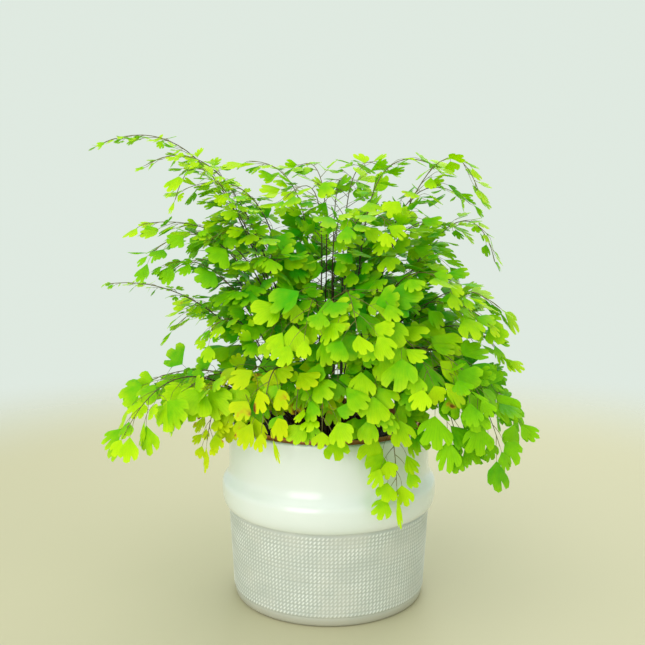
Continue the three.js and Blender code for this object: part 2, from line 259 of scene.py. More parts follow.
def stitch(column, row):
    """How far a stitch stands out at a place in its cell, from 0 to 1. It leans, and its ends are round."""
    across = (column - 0.5 - STITCH_LEAN * (row - 0.4)) / STITCH_HALF_WIDTH
    along = (row - 0.42) / STITCH_HALF_LENGTH
    return max(0.0, 1 - across * across - along**4)


def band_radius(height):
    share = (height - BAND_LOW) / (BAND_HIGH - BAND_LOW)
    return BAND_LOW_RADIUS + share * (BAND_HIGH_RADIUS - BAND_LOW_RADIUS)


band_rings = STITCH_ROWS * 4
band = [BAND_LOW + step * (BAND_HIGH - BAND_LOW) / band_rings for step in range(band_rings + 1)]
inside_ring = RING - THICK
pot_chain = [
    Vector((0, 0, 0)),
    Vector((58 * MM, 0, 0)),
    *bend((60.2, 0), (62, 0.1), (63, 1.6), (63.1, 4), 6),
    *bend((63.2, 5), (63.2, 5.4), (63, 5.8), (63.1, 6.3), 3),
    *[Vector((band_radius(height), 0, height)) for height in band],
    *bend((65.9, 59.8), (65.7, 60.2), (65.7, 60.7), (66.2, 61), 4),
    *bend((67.4, 61.3), (70.4, 63.4), (RING, 69), (RING, 74.2), 9),
    *bend((RING, 75.5), (RING, 81), (NECK, 80.5), (NECK, 89), 9),
    *bend((NECK, 92), (NECK, 98), (NECK, 106), (NECK, LIP - 1.8), 5),
    *bend((NECK, LIP - 1.5), (NECK, LIP), (NECK - THICK, LIP), (NECK - THICK, LIP - 1.5), 8),
    *bend((NECK - THICK, LIP - 4), (NECK - THICK, 96), (NECK - THICK, 92), (NECK - THICK, 88), 3),
    *bend((NECK - THICK, 86), (NECK - THICK, 81), (inside_ring, 81), (inside_ring, 75), 5),
    *bend((inside_ring, 73), (inside_ring, 66), (63, 62), (62.8, 60), 5),
    *bend((60.6, 16), (60, 9), (58, FLOOR_UP), (54, FLOOR_UP), 6),
    Vector((0, 0, FLOOR_UP * MM)),
]
pot_shape = turned(pot_chain, POT_STEPS)
raised = pot_shape.verts.layers.float.new("raised")
for vert in pot_shape.verts:
    radius = math.hypot(vert.co.x, vert.co.y)
    height = vert.co.z
    if BAND_LOW < height < BAND_HIGH and abs(radius - band_radius(height)) < 1e-5:
        azimuth = math.atan2(vert.co.y, vert.co.x) % (2 * math.pi)
        column = azimuth / (2 * math.pi) * STITCH_COLUMNS
        row = (height - BAND_LOW) / (BAND_HIGH - BAND_LOW) * STITCH_ROWS
        # The stitches were pressed by hand, so their depth drifts round the pot.
        drift = 0.8 + 0.35 * noise.noise(Vector((vert.co.x * 60, vert.co.y * 60, height * 90)))
        vert[raised] = stitch(column % 1, row % 1) * drift
        outward = Vector((vert.co.x, vert.co.y, 0)).normalized()
        vert.co += outward * vert[raised] * STITCH_RELIEF

glaze, paint, place = new_finish("glaze")
height = paint.node("ShaderNodeSeparateXYZ", (), {0: place}, 2)
relief = paint.node("ShaderNodeAttribute", {"attribute_name": "raised"}, output=2)
white = height.between(GLAZE_LINE - 0.3 * MM, GLAZE_LINE + 0.4 * MM)
lip_wear = height.between((LIP - 1.4) * MM, LIP * MM)
cloud = place.noise(24, 3).between(0.35, 0.7)
cream = cloud.mix(CREAM_GLAZE, (0.75, 0.80, 0.75))
cream = (lip_wear * 0.5).mix(cream, (0.72, 0.73, 0.64))
grey = relief.between(0.1, 0.95).mix(GREY_GLAZE, GREY_GLAZE_WORN)
grey = (place.noise(55, 4).between(0.4, 0.72) * 0.35).mix(grey, (0.66, 0.64, 0.56))
grey = ((1 - height.between(3.5 * MM, 8 * MM)) * 0.75).mix(grey, (0.44, 0.42, 0.33))
speck = place.noise(900, 2, 0.6).between(0.68, 0.74)
grey = (speck * 0.5).mix(grey, (0.42, 0.40, 0.34))
ripple = place.noise(38, 2) * 0.6 + place.noise(420, 3) * 0.05
tooth = place.noise(1500, 3) * (1 - white)
show(
    principled(
        paint,
        {
            "Base Color": white.mix(grey, cream),
            "Roughness": 0.50 - white * 0.28,
            "Coat Weight": white * 0.5,
            "Coat Roughness": 0.16,
            "Normal": (ripple + tooth * 0.6).bump(0.0006, 0.22),
        },
    )
)
add_piece("cachepot_glazed", pot_shape, [glaze], "glazed_stoneware", "cachepot")

# ---------------------------------------------------------------- nursery pot
# A thin blow-moulded grower's pot in terracotta-coloured polypropylene. It stands loose on the
# cachepot's floor, its rolled rim just proud of the ceramic, and has seven drain holes.

NURSERY_STEPS = 144
NURSERY_FLOOR = 6.3
NURSERY_FLOOR_TOP = 7.4
NURSERY_TOP = 117.9
NURSERY_RIM = 59.8
NURSERY_HOLE = 4.5  # the radius of a drain hole, and next that of the circle on which six of them lie
NURSERY_HOLE_RING = 28
FLOOR_EDGE = 38  # where the turned wall meets the flat floor with the holes

nursery_chain = [
    Vector((FLOOR_EDGE * MM, 0, NURSERY_FLOOR * MM)),
    *bend((41, NURSERY_FLOOR), (42.6, NURSERY_FLOOR), (43, 7), (43.2, 8.4), 5),
    *bend((44.5, 20), (48, 48), (52, 78), (56.1, 101.5), 5),
    *bend((56.3, 102.6), (57, 103.6), (59, 103.6), (59.3, 104.4), 5),
    Vector((59.5 * MM, 0, 110 * MM)),
    *bend((59.7, 116), (NURSERY_RIM, NURSERY_TOP), (58.4, NURSERY_TOP), (58.5, 116.6), 7),
    *bend((58.45, 112), (58.4, 109), (58.3, 107), (58.1, 105.4), 3),
    *bend((57.9, 104.9), (57.4, 104.5), (55.4, 103.8), (55, 102.4), 5),
    *bend((51, 78), (47, 48), (43.4, 20), (42, 9.6), 4),
    *bend((41.8, 8.4), (41.4, 7.6), (40.4, NURSERY_FLOOR_TOP), (39.4, NURSERY_FLOOR_TOP), 4),
    Vector((FLOOR_EDGE * MM, 0, NURSERY_FLOOR_TOP * MM)),
]
nursery_shape = turned(nursery_chain, NURSERY_STEPS)


def drained_floor(shape, height, faces_down):
    """Fills the floor at a height with flat faces round its holes, and gives each hole's edges."""
    rings = [bmesh.ops.create_circle(shape, segments=NURSERY_STEPS, radius=FLOOR_EDGE * MM)["verts"]]
    for hole in range(7):
        azimuth = hole * math.pi / 3
        out = 0 if hole == 6 else NURSERY_HOLE_RING * MM
        place = Matrix.Translation((out * math.cos(azimuth), out * math.sin(azimuth), 0))
        rings.append(
            bmesh.ops.create_circle(shape, segments=20, radius=NURSERY_HOLE * MM, matrix=place)["verts"]
        )
    verts = [vert for ring in rings for vert in ring]
    bmesh.ops.translate(shape, verts=verts, vec=(0, 0, height))
    edges = list(dict.fromkeys(edge for vert in verts for edge in vert.link_edges))
    faces = [
        item
        for item in bmesh.ops.triangle_fill(shape, use_beauty=True, edges=edges)["geom"]
        if isinstance(item, bmesh.types.BMFace)
    ]
    for face in faces:
        if (face.normal.z < 0) != faces_down:
            face.normal_flip()
    return [
        list(dict.fromkeys(edge for vert in ring for edge in vert.link_edges if len(edge.link_faces) == 1))
        for ring in rings[1:]
    ]


lower_holes = drained_floor(nursery_shape, NURSERY_FLOOR * MM, True)
upper_holes = drained_floor(nursery_shape, NURSERY_FLOOR_TOP * MM, False)
for lower, upper in zip(lower_holes, upper_holes):
    bmesh.ops.bridge_loops(nursery_shape, edges=lower + upper)
bmesh.ops.remove_doubles(nursery_shape, verts=nursery_shape.verts, dist=2e-5)
bmesh.ops.recalc_face_normals(nursery_shape, faces=nursery_shape.faces)

terracotta, paint, place = new_finish("terracotta_plastic")
mottle = place.noise(70, 4)
dust = place.noise(260, 3).between(0.5, 0.75)
clay_colour = mottle.mix((0.56, 0.17, 0.045), (0.72, 0.26, 0.075))
show(
    principled(
        paint,
        {
            "Base Color": (dust * 0.3).mix(clay_colour, (0.62, 0.36, 0.20)),
            "Roughness": 0.42 + dust * 0.25,
            "Normal": mottle.bump(0.0002),
        },
    )
)
add_piece("nursery_pot_moulded", nursery_shape, [terracotta], "terracotta_plastic", "nursery_pot")

# ---------------------------------------------------------------- potting soil
# The plug of black, moist peat that fills the nursery pot to 9 mm under its rim. Its top is
# crumbled by watering, with grains of pale perlite and fine bark pressed into it.

SOIL_STEPS = 208
SOIL_EDGE = 58.2
SOIL_EDGE_UP = 108.8
SOIL_CROWN_UP = 111.8
CLOD_HEIGHT = 1.1 * MM
CRUMBS = 620
GRAINS = 90  # half of them perlite and half bark
STREWN_RADIUS = 56.5

soil_random = random.Random(11)


def soil_height(radius):
    """The level of the soil at a distance from the pot's axis, before the crumbs, in metres."""
    share = min(1.0, radius / (SOIL_EDGE * MM))
    return (SOIL_CROWN_UP - (SOIL_CROWN_UP - SOIL_EDGE_UP) * share**2) * MM


soil_rings = 44
soil_chain = [
    *[
        Vector((SOIL_EDGE * MM * ring / soil_rings, 0, soil_height(SOIL_EDGE * MM * ring / soil_rings)))
        for ring in range(soil_rings + 1)
    ],
    Vector((57.5 * MM, 0, 106 * MM)),
    Vector((54.4 * MM, 0, 101 * MM)),
    Vector((41.4 * MM, 0, 10 * MM)),
    Vector((40 * MM, 0, 8 * MM)),
    Vector((0, 0, 8 * MM)),
]
soil_shape = turned(soil_chain, SOIL_STEPS)
for vert in soil_shape.verts:
    radius = math.hypot(vert.co.x, vert.co.y)
    if vert.co.z > 108 * MM and radius < 57.8 * MM:
        clods = noise.fractal(vert.co * 170, 1.0, 2.1, 4)
        vert.co.z += CLOD_HEIGHT * clods * min(1.0, (SOIL_EDGE * MM - radius) / (4 * MM))

grains = bmesh.new()


def pebble(place, size, finish_index):
    """One rough grain: a squashed and dented icosphere of twenty faces."""
    verts = bmesh.ops.create_icosphere(grains, subdivisions=1, radius=size)["verts"]
    squash = Vector([soil_random.uniform(*span) for span in ((0.6, 1.3), (0.5, 1), (0.4, 0.8))])
    spin = Matrix.Rotation(soil_random.uniform(0, 6.28), 4, "Z")
    turn = spin @ Matrix.Rotation(soil_random.uniform(-0.5, 0.5), 4, "X")
    for vert in verts:
        dented = vert.co * soil_random.uniform(0.8, 1.15)
        vert.co = turn @ Vector(a * b for a, b in zip(dented, squash))
        vert.co += place
    for face in {face for vert in verts for face in vert.link_faces}:
        face.material_index = finish_index


for grain in range(CRUMBS + GRAINS):
    radius = math.sqrt(soil_random.uniform(0.02, 1)) * STREWN_RADIUS * MM
    azimuth = soil_random.uniform(0, 2 * math.pi)
    is_crumb = grain < CRUMBS
    size = soil_random.uniform(0.5, 1.7 if is_crumb else 1.2) * MM
    rest = Vector((radius * math.cos(azimuth), radius * math.sin(azimuth), soil_height(radius) + 0.3 * size))
    pebble(rest, size, 0 if is_crumb else 1 + grain % 2)
grain_mesh = bpy.data.meshes.new("grains")
grains.to_mesh(grain_mesh)
grains.free()
soil_shape.from_mesh(grain_mesh)
bpy.data.meshes.remove(grain_mesh)

peat, paint, place = new_finish("wet_peat")
crumb = place.noise(600, 5, 0.7)
show(
    principled(
        paint,
        {
            "Base Color": crumb.between(0.35, 0.75).mix((0.006, 0.005, 0.004), (0.045, 0.030, 0.019)),
            "Roughness": 0.95 - crumb.between(0.5, 0.8) * 0.25,
            "Normal": crumb.bump(0.0008),
        },
    )
)
perlite, paint, place = new_finish("perlite")
stained = place.noise(500).mix((0.34, 0.31, 0.22), (0.62, 0.60, 0.48))
show(principled(paint, {"Base Color": stained, "Roughness": 0.9}))
bark, paint, place = new_finish("bark_chips")
browns = place.noise(300).mix((0.10, 0.045, 0.02), (0.24, 0.13, 0.06))
show(principled(paint, {"Base Color": browns, "Roughness": 0.8}))
add_piece("soil_surface", soil_shape, [peat, perlite, bark], "peat", "potting_soil")

# ---------------------------------------------------------------- rhizome crown
# Short dark rhizomes, matted together and half sunk in the soil, with chaffy scales and the dark
# stubs of old fronds. Every frond grows from them.

# Each rhizome's azimuth in degrees, and its middle's distance from the axis and half length in millimetres.
RHIZOMES = [(10, 12, 15), (75, 11, 13), (130, 13, 14), (190, 12, 15), (250, 12, 14), (315, 13, 15)]
RHIZOME_RADIUS = 6
RHIZOME_UP = 110
MAT_RADIUS = 14.6
MAT_HALF_HEIGHT = 6.6
STUBS = 84
STUB_FOOT_UP = 109
STUB_FOOT_RADIUS = 0.8
STUB_TIP_RADIUS = 0.4

crown_shape = bmesh.new()
flattened = Matrix.Diagonal((MAT_RADIUS * MM, MAT_RADIUS * MM, MAT_HALF_HEIGHT * MM, 1))
mat_place = Matrix.Translation((0, 0, RHIZOME_UP * MM)) @ flattened
bmesh.ops.create_icosphere(crown_shape, subdivisions=5, radius=1, matrix=mat_place)
for azimuth, out, half_length in RHIZOMES:
    root_place = (
        Matrix.Rotation(math.radians(azimuth), 4, "Z")
        @ Matrix.Translation((out * MM, 0, (RHIZOME_UP - 1) * MM))
        @ Matrix.Diagonal((half_length * MM, RHIZOME_RADIUS * MM, RHIZOME_RADIUS * MM, 1))
    )
    bmesh.ops.create_icosphere(crown_shape, subdivisions=4, radius=1, matrix=root_place)
for vert in crown_shape.verts:
    scales = noise.fractal(vert.co * 320, 1.0, 2.0, 3)
    vert.co += vert.normal * 0.55 * MM * scales
crown_random = random.Random(5)
for stub in range(STUBS):
    azimuth = crown_random.uniform(0, 2 * math.pi)
    out = crown_random.uniform(4, 23) * MM
    hinge = Vector((-math.sin(azimuth), math.cos(azimuth), 0))
    lean = Matrix.Rotation(crown_random.uniform(0.1, 0.7), 4, hinge)
    length = crown_random.uniform(5, 13) * MM * crown_random.choice((1, 1, 2.4))
    foot = Matrix.Translation((out * math.cos(azimuth), out * math.sin(azimuth), STUB_FOOT_UP * MM))
    raised = Matrix.Translation((0, 0, length / 2))
    bmesh.ops.create_cone(
        crown_shape,
        cap_ends=True,
        segments=6,
        radius1=STUB_FOOT_RADIUS * MM,
        radius2=STUB_TIP_RADIUS * MM,
        depth=length,
        matrix=foot @ lean @ raised,
    )
bmesh.ops.recalc_face_normals(crown_shape, faces=crown_shape.faces)
for face in crown_shape.faces:
    face.smooth = len(face.verts) < 5

rhizome_finish, paint, place = new_finish("chaffy_rhizome")
chaff = place.noise(420, 4, 0.65)
show(
    principled(
        paint,
        {
            "Base Color": chaff.between(0.35, 0.7).mix((0.014, 0.007, 0.004), (0.12, 0.05, 0.02)),
            "Roughness": 0.75,
            "Normal": chaff.bump(0.0006),
        },
    )
)
add_piece("rhizome_mat", crown_shape, [rhizome_finish], "rhizome", "rhizome_crown")

# ---------------------------------------------------------------- fronds
# Each frond is one grown piece: a wiry black stem that rises bare from the crown and arches over,
# thin side stalks on alternate sides, and thin fan-shaped leaflets hung on hair-fine stalks.

ROOTING_HEIGHT = 108  # in millimetres, like the lengths in FRONDS
SHOWING_HEIGHT = 0.1115  # a stem starts at its last point under this, inside the crown
STEM_FOOT_RADIUS = 0.70 * MM
STEM_TIP_RADIUS = 0.20 * MM
STALK_RADIUS = 0.28 * MM
HAIR_RADIUS = 0.14 * MM
STEM_POINTS = 44
PINNA_SPACING = 6.9 * MM
PINNA_ANGLE = 62  # degrees from the stem at its lowest side stalk
PINNA_CLOSING = 16  # and how many fewer at its tip
BRANCHED_LENGTH = 21 * MM  # a side stalk longer than this has side stalks of its own
HANGING_DROOP = 80  # a frond that hangs this steeply is dense, and ends in a rolled leaflet
LEAFLET_SHARE = 0.91  # of the row's leaflet size, which is that of the largest
LEAFLET_SPACING = 0.56  # along a side stalk, in leaflet sizes
LEAFLET_SAG = 0.22  # how far leaflets hang down from the way they grow
STALK_BARE = 0.26  # of a side stalk has no leaflets
ROLLED_SHARE = 0.05  # of the leaflets are still rolled up, as narrow as slivers
ROLLED_WIDTH = 0.22
ATTEMPTS = 9  # at hanging one leaflet
FRONT_FACING_BELOW = 0.15  # leaflets lower than this turn to the front
TIERED_ABOVE = 0.235  # and higher than this they lie in tiers
TOWARDS_WINDOW = Vector((-0.15, -1, 0.25))
# What the pots and the soil take up, as rings of (inner radius, outer radius, top) in millimetres.
KEPT_CLEAR = [(0, 72.5, 93), (56.5, 67.6, 119.4), (0, 60, 114)]
# The foliage is about this large, and its leaflets are painted lightest this far from its middle, and painted
# in shade nearer to it.
PLANT_HALF_WIDTH = 125 * MM
PLANT_HALF_DEPTH = 95 * MM
PLANT_HALF_HEIGHT = 115 * MM
PLANT_MIDDLE_UP = 175 * MM

FRONDS = [
    # Angles are in degrees, lengths in millimetres, and arch and bare are shares of a length.
    # name, turn, swing, lean, arch, reach, height, droop, bare, spread, leaflet, leaf colour
    # left, from the top down
    ("left_long", 174, 0, 17, 0.4, 152, 296, 24, 0.5, 34, 10, "fresh"),
    ("left_twin", 187, -4, 14, 0.36, 116, 283, 30, 0.5, 38, 12, "fresh"),
    ("left_tier", 176, 0, 15, 0.42, 93, 268, 22, 0.45, 38, 15, "fresh"),
    ("left_curl", 195, 0, 12, 0.42, 98, 262, 75, 0.5, 38, 13, "fresh"),
    ("left_upright", 160, 0, 12, 0.35, 56, 286, 0, 0.45, 36, 16, "fresh"),
    ("left_flat_high", 182, 2, 19, 0.45, 118, 246, 8, 0.4, 44, 16, "fresh"),
    ("left_flat_mid", 196, 0, 22, 0.46, 115, 228, 40, 0.4, 44, 16, "deep"),
    ("left_inner", 199, 0, 17, 0.4, 76, 238, 30, 0.4, 38, 15, "fresh"),
    ("left_thread", 178, 0, 29, 0.38, 146, 206, 8, 0.5, 22, 7, "fresh"),
    ("left_wire", 204, -3, 29, 0.34, 108, 222, 20, 0.5, 34, 14, "deep"),
    ("left_back_wire", 167, 0, 25, 0.38, 104, 216, 30, 0.5, 34, 14, "deep"),
    ("left_small", 209, 0, 34, 0.46, 86, 178, 55, 0.5, 30, 13, "fresh"),
    ("left_low_out", 203, 4, 50, 0.55, 138, 122, 60, 0.4, 40, 20, "fresh"),
    ("left_low_back", 177, 0, 44, 0.45, 122, 140, 25, 0.4, 38, 19, "deep"),
    ("left_low_front", 212, 0, 40, 0.5, 112, 138, 50, 0.4, 36, 18, "fresh"),
    ("left_twig", 216, 0, 54, 0.8, 92, 116, 80, 0.4, 28, 13, "gold"),
    # front, from left to right
    ("front_left_outer", 230, 0, 44, 0.85, 83, 134, 75, 0.4, 30, 19, "gold"),
    ("front_left_inner", 243, 0, 37, 0.85, 87, 130, 78, 0.4, 30, 20, "gold"),
    ("front_left_up", 236, 0, 16, 0.55, 64, 180, 55, 0.45, 36, 19, "fresh"),
    ("front_drop_left", 256, 0, 41, 0.75, 82, 136, 75, 0.45, 26, 17, "fresh"),
    ("front_drop_right", 267, 0, 36, 0.75, 84, 132, 78, 0.45, 30, 18, "fresh"),
    ("front_arch", 259, 0, 12, 0.65, 76, 184, 50, 0.4, 46, 22, "fresh"),
    ("front_fan", 281, 0, 9, 0.65, 82, 188, 50, 0.4, 46, 22, "fresh"),
    ("front_cluster", 274, 0, 24, 0.65, 70, 158, 75, 0.5, 30, 18, "deep"),
    ("front_left_high", 230, 0, 8, 0.45, 42, 262, 35, 0.42, 36, 16, "fresh"),
    ("front_up", 289, 0, 5, 0.45, 46, 248, 20, 0.4, 38, 18, "fresh"),
    # right, from the front round
    ("right_bright", 294, 0, 33, 0.75, 84, 140, 70, 0.4, 36, 21, "fresh"),
    ("right_hanging", 301, 0, 41, 0.9, 78, 92, 86, 0.4, 26, 17, "fresh"),
    ("right_front", 308, 0, 24, 0.65, 96, 158, 55, 0.4, 40, 21, "fresh"),
    ("right_low_inner", 316, 2, 37, 0.8, 103, 116, 75, 0.4, 38, 22, "deep"),
    ("right_low_outer", 327, 0, 43, 0.75, 121, 116, 70, 0.4, 38, 22, "deep"),
    ("right_dark_arch", 322, 0, 17, 0.55, 112, 148, 55, 0.35, 44, 22, "deep"),
    ("right_far", 343, 0, 31, 0.58, 124, 124, 60, 0.4, 36, 19, "deep"),
    ("right_shelf", 338, 0, 19, 0.48, 103, 188, 38, 0.35, 44, 19, "fresh"),
    ("right_ledge", 328, 0, 17, 0.5, 92, 206, 40, 0.38, 42, 19, "fresh"),
    ("right_front_high", 312, 0, 9, 0.45, 56, 246, 35, 0.4, 38, 17, "fresh"),
    ("right_mid_arch", 348, 0, 28, 0.52, 112, 164, 50, 0.38, 42, 20, "fresh"),
    ("right_shoulder", 358, 0, 25, 0.45, 110, 192, 40, 0.35, 44, 19, "fresh"),
    ("right_thread", 5, 0, 15, 0.55, 110, 220, 75, 0.45, 32, 11, "fresh"),
    ("right_high_tip", 350, 0, 10, 0.46, 95, 266, 70, 0.45, 38, 16, "fresh"),
    ("right_crest", 358, 0, 12, 0.42, 72, 280, 30, 0.42, 38, 16, "fresh"),
    ("right_tier", 12, 0, 13, 0.44, 96, 258, 40, 0.42, 40, 16, "fresh"),
    ("right_flat", 18, 0, 15, 0.45, 94, 240, 28, 0.4, 42, 17, "fresh"),
    ("right_inner", 12, 0, 21, 0.38, 74, 212, 25, 0.4, 38, 18, "fresh"),
    ("centre_high", 52, 8, 10, 0.4, 70, 284, 15, 0.4, 40, 17, "fresh"),
    ("centre_left", 114, 0, 7, 0.4, 46, 284, 10, 0.45, 36, 15, "fresh"),
    # back, from right to left
    ("back_right_low", 32, 0, 35, 0.6, 124, 158, 50, 0.4, 42, 19, "deep"),
    ("back_right", 42, 0, 17, 0.52, 108, 216, 40, 0.4, 42, 19, "fresh"),
    ("back_low", 62, 0, 39, 0.7, 116, 134, 65, 0.4, 38, 19, "deep"),
    ("back_drop", 74, 0, 36, 0.75, 86, 134, 75, 0.45, 34, 18, "fresh"),
    ("back_high", 84, 0, 13, 0.52, 106, 232, 36, 0.4, 42, 18, "fresh"),
    ("back_upright", 78, 0, 8, 0.42, 62, 272, 20, 0.42, 38, 16, "fresh"),
    ("back_middle", 96, 0, 31, 0.6, 128, 168, 50, 0.4, 42, 19, "deep"),
    ("back_left", 131, 0, 18, 0.52, 112, 220, 38, 0.4, 42, 19, "fresh"),
    ("back_left_low", 121, 0, 41, 0.66, 118, 132, 62, 0.4, 38, 19, "deep"),
    ("back_left_wide", 148, 0, 29, 0.5, 126, 172, 42, 0.4, 42, 18, "fresh"),
]


def outwards(azimuth):
    """The unit vector that points away from the pot's axis at an azimuth in degrees."""
    return Vector((math.cos(math.radians(azimuth)), math.sin(math.radians(azimuth)), 0))


class Route:
    """A stem's or stalk's centre line, with points evenly spaced along it."""

    def __init__(self, corners, count):
        fine = interpolate_bezier(*corners, 8 * count)
        reached = [0.0]
        for before, after in zip(fine, fine[1:]):
            reached.append(reached[-1] + (after - before).length)
        self.length = reached[-1]
        self.points = []
        walk = 0
        for step in range(count):
            wanted = self.length * step / (count - 1)
            while walk < len(fine) - 2 and reached[walk + 1] < wanted:
                walk += 1
            share = (wanted - reached[walk]) / (reached[walk + 1] - reached[walk])
            self.points.append(fine[walk].lerp(fine[walk + 1], min(1.0, share)))

    def at(self, share):
        """The place and the direction at a share of the length."""
        exact = share * (len(self.points) - 1)
        step = min(int(exact), len(self.points) - 2)
        before, after = self.points[step], self.points[step + 1]
        return before.lerp(after, exact - step), (after - before).normalized()


def stem_route(turn, swing, lean, arch, reach, height, droop):
    """A frond's stem, from inside the crown to its tip."""
    foot = 6 + 0.3 * lean
    handle = arch * math.hypot(reach - foot, height - ROOTING_HEIGHT)
    lean = math.radians(lean)
    droop = math.radians(droop)
    corners = [
        (turn, foot, ROOTING_HEIGHT),
        (turn, foot + handle * math.sin(lean), ROOTING_HEIGHT + handle * math.cos(lean)),
        (turn + 0.6 * swing, reach - handle * math.cos(droop), height + handle * math.sin(droop)),
        (turn + swing, reach, height),
    ]
    places = [(outwards(azimuth) * radius + Vector((0, 0, up))) * MM for azimuth, radius, up in corners]
    return Route(places, STEM_POINTS)


# ---- leaflets: a few cut shapes, each a closed fan of a few dozen faces, two skins thick

LEAFLET_SHAPES = 18
LOBE_STEPS = (0, 0.18, 0.5, 0.82)  # where a lobe's columns stand: its notch, and two shoulders round a crest
MIDDLE_RING = 0.52  # where the blade's middle row lies, from stalk to rim
BLADE_THICK = 0.016  # for a leaflet one unit long
PLEAT = 0.016  # how far each lobe is raised along its middle
leaflet_random = random.Random(29)


def fan_leaflet(name, lobes, half_angle, notch, skew, hook, cup, sag):
    """A fan one unit long, from its stalk at the origin along +Y, with its upper face towards +Z.

    Its sides are straight, and its far edge is round and cut by narrow notches into blunt lobes.
    Skew makes one side longer, hook bends it sideways, cup rolls its sides and sag droops its tip.
    """
    across = 4 * lobes
    shape = bmesh.new()
    uv = shape.loops.layers.uv.new("leaf")
    shape.verts.layers.float.new("tone")
    bmesh.ops.create_grid(shape, x_segments=across, y_segments=2, size=1)
    deep = leaflet_random.randrange(1, lobes)
    for vert in shape.verts:
        column = round((vert.co.x + 1) / 2 * across)
        ring = round(vert.co.y + 1)
        if ring == 0:
            vert.co = Vector((0, 0, 0))
            continue
        lobe, step = divmod(column, 4)
        side = 2 * (lobe + LOBE_STEPS[step]) / lobes - 1
        angle = side * half_angle
        outline = 1 - 0.34 * abs(side) ** 2.4 + skew * side
        crest = math.sin(math.pi * LOBE_STEPS[step])
        reach = outline * MIDDLE_RING
        if ring == 2 and column in (0, across):
            reach = outline * 0.86
        elif ring == 2 and step == 0:
            reach = outline * (1 - notch * (1.5 if lobe == deep else 1) * leaflet_random.uniform(0.75, 1.1))
        elif ring == 2:
            reach = outline * (0.88 + 0.12 * crest + leaflet_random.uniform(-0.03, 0.03))
        x = reach * math.sin(angle)
        y = reach * math.cos(angle)
        pleat = PLEAT * ring * (crest - 0.5)
        vert.co = Vector((x + hook * y * y, y, cup * x * x - sag * y * y + pleat))
    bmesh.ops.remove_doubles(shape, verts=shape.verts, dist=1e-5)
    # The two far corners are joined to the inside, so that no part of a face lies wholly in the rim.
    for corner in [vert for vert in shape.verts if len(vert.link_faces) == 1]:
        inner = next(vert for vert in corner.link_faces[0].verts if not vert.is_boundary)
        bmesh.ops.connect_verts(shape, verts=[corner, inner])
    for face in shape.faces:
        for loop in face.loops:
            x, y, _ = loop.vert.co
            angle = math.atan2(x - hook * y * y, max(y, 1e-6))
            loop[uv].uv = (0.5 + angle / (2 * half_angle), math.hypot(x, y))
    # The underside is a copy turned over, which joins the upper face along the rim.
    copied = bmesh.ops.duplicate(shape, geom=shape.verts[:] + shape.edges[:] + shape.faces[:])["geom"]
    under = [item for item in copied if isinstance(item, bmesh.types.BMFace)]
    bmesh.ops.reverse_faces(shape, faces=under)
    for vert in {vert for face in under for vert in face.verts}:
        if not vert.is_boundary:
            vert.co.z -= BLADE_THICK
    for edge in shape.edges:
        edge.smooth = not edge.is_boundary
    bmesh.ops.remove_doubles(shape, verts=shape.verts, dist=1e-5)
    for face in shape.faces:
        face.smooth = True
    mesh = bpy.data.meshes.new(name)
    shape.to_mesh(mesh)
    shape.free()
    return mesh


leaflet_shapes = [
    fan_leaflet(
        f"fan_{index}",
        lobes=(3, 4, 3, 4, 3)[index % 5],
        half_angle=math.radians(leaflet_random.uniform(36, 58)),
        notch=leaflet_random.uniform(0.18, 0.34),
        skew=leaflet_random.uniform(-0.16, 0.16),
        hook=leaflet_random.uniform(-0.14, 0.14),
        cup=leaflet_random.uniform(-0.45, 0.40),
        sag=leaflet_random.uniform(0.0, 0.34),
    )
    for index in range(LEAFLET_SHAPES)
]


class Foliage:
    """The leaflets hung so far, sorted into cells, so that a new one is tested only against those near it."""

    CELL = 16 * MM

    def __init__(self, stems):
        self.stems = stems
        self.cells = {}

    def add_if_free(self, points, polygons):
        """Adds a leaflet, and says True, unless a pot, the soil, a stem or a near leaflet is in its way."""
        for point in points:
            radius = math.hypot(point.x, point.y)
            for inner, outer, top in KEPT_CLEAR:
                if point.z < top * MM and inner * MM <= radius < outer * MM:
                    return False
        tree = BVHTree.FromPolygons(points, polygons)
        if tree.overlap(self.stems):
            return False
        middle = sum(points, Vector()) / len(points)
        home = tuple(math.floor(part / self.CELL) for part in middle)
        for step in itertools.product((-1, 0, 1), repeat=3):
            near = tuple(part + change for part, change in zip(home, step))
            if any(tree.overlap(other) for other in self.cells.get(near, ())):
                return False
        self.cells.setdefault(home, []).append(tree)
        return True


def tubes(name, lines, resolution):
    """Tapering tubes with open ends, along lines of (place, radius), as one mesh."""
    curve = bpy.data.curves.new(name, "CURVE")
    curve.dimensions = "3D"
    curve.bevel_depth = 1
    curve.bevel_resolution = resolution
    for line in lines:
        spline = curve.splines.new("POLY")
        spline.points.add(len(line) - 1)
        for point, (place, radius) in zip(spline.points, line):
            point.co = (*place, 1)
            point.radius = radius
    maker = bpy.data.objects.new(name, curve)
    mesh = bpy.data.meshes.new_from_object(maker)
    bpy.data.objects.remove(maker)
    bpy.data.curves.remove(curve)
    return mesh


